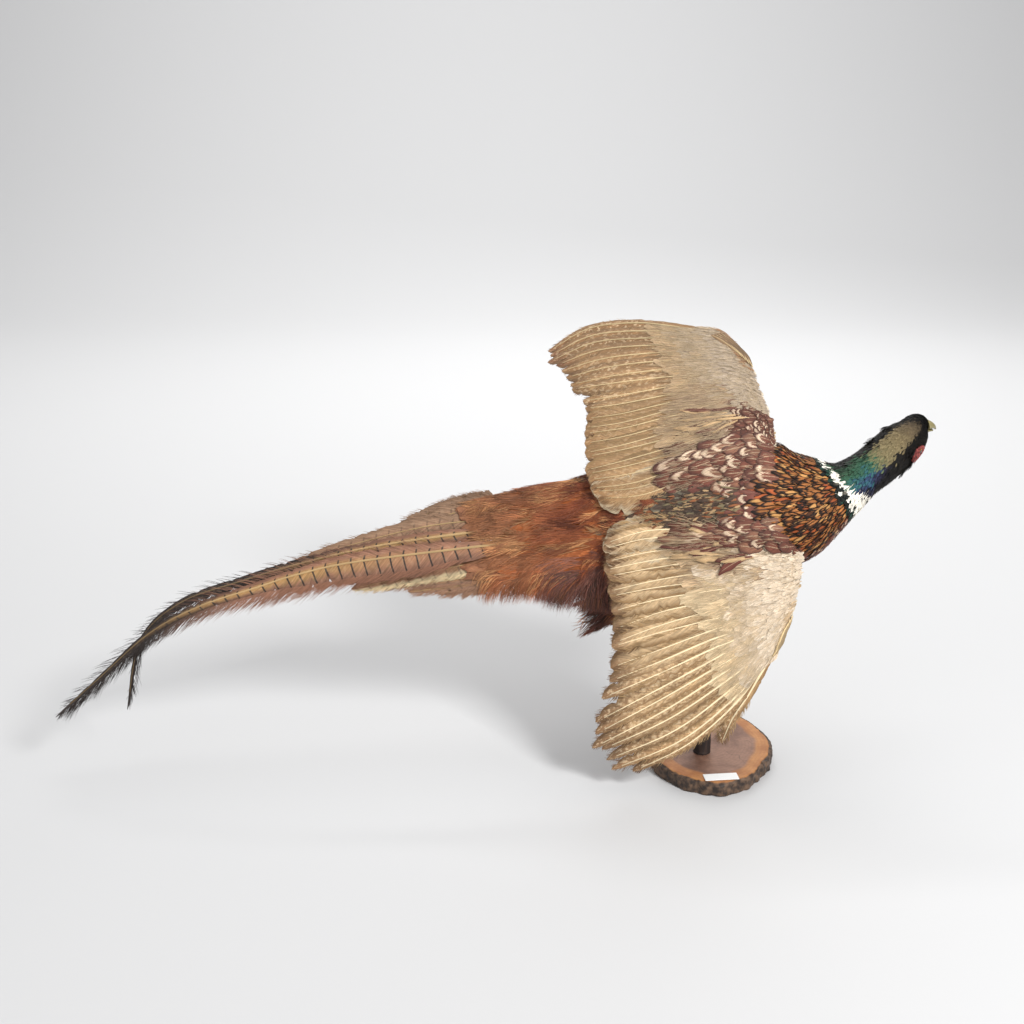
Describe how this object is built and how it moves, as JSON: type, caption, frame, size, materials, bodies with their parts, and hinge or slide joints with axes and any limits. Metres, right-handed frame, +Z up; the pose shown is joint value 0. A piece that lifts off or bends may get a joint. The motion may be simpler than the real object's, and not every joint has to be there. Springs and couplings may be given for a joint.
{
  "type": "taxidermy pheasant",
  "caption": "Life-size mounted cock pheasant banking in flight with wings spread and long tail, held on a wooden stub above a slice of log that rests on a flat surface.",
  "frame": {"origin": "on the underside of the log slice, straight below the middle of the trunk", "axes": "+Z up; +X towards the beak, -X towards the tail; the bird's back is turned to -Y"},
  "size_m": [0.8233, 0.209, 0.4091],
  "materials": {
    "crown": "fine olive bronze feathers over a head form",
    "neck": "glossy green, teal and purple feathers",
    "ring": "short white feathers",
    "body": "copper, maroon and cream contour feathers",
    "rump": "loose rust-orange plumes",
    "thighs": "dark purple-brown hair-like feathers",
    "wing_coverts": "soft grey and maroon coverts",
    "flight": "matt tan vanes with cream shafts",
    "tail": "buff vanes with dark bars and loose fringes",
    "bill": "horn with a low sheen",
    "wattle": "pebbled red skin",
    "eye": "amber glass eye with a black pupil",
    "scale": "dry scaled skin and horn claws",
    "log": "smooth sawn face with rough bark at the rim",
    "tag": "blank white paper",
    "stub": "dark stained round branch"
  },
  "bodies": {
    "root": {"head": "crown", "neck": "neck", "neck_ring": "ring", "trunk": "body", "rump": "rump", "tail_coverts": "rump", "thigh_left": "thighs", "thigh_right": "thighs", "wing_left_coverts": "wing_coverts", "wing_right_coverts": "wing_coverts", "wing_left_primaries": "flight", "wing_left_secondaries": "flight", "wing_right_primaries": "flight", "wing_right_secondaries": "flight", "tail_feather_1": "tail", "tail_feather_2": "tail", "tail_feather_3": "tail", "tail_feather_4": "tail", "tail_feather_5": "tail", "tail_feather_6": "tail", "tail_feather_7": "tail", "tail_feather_8": "tail", "tail_feather_9": "tail", "tail_feather_10": "tail", "tail_feather_11": "tail", "tail_feather_12": "tail", "beak_upper": "bill", "beak_lower": "bill", "wattle_left": "wattle", "wattle_right": "wattle", "eye_left": "eye", "eye_right": "eye", "foot_left": "scale", "foot_right": "scale", "base_slice": "log", "base_tag": "tag", "base_stub": "stub"}
  },
  "joints": []
}
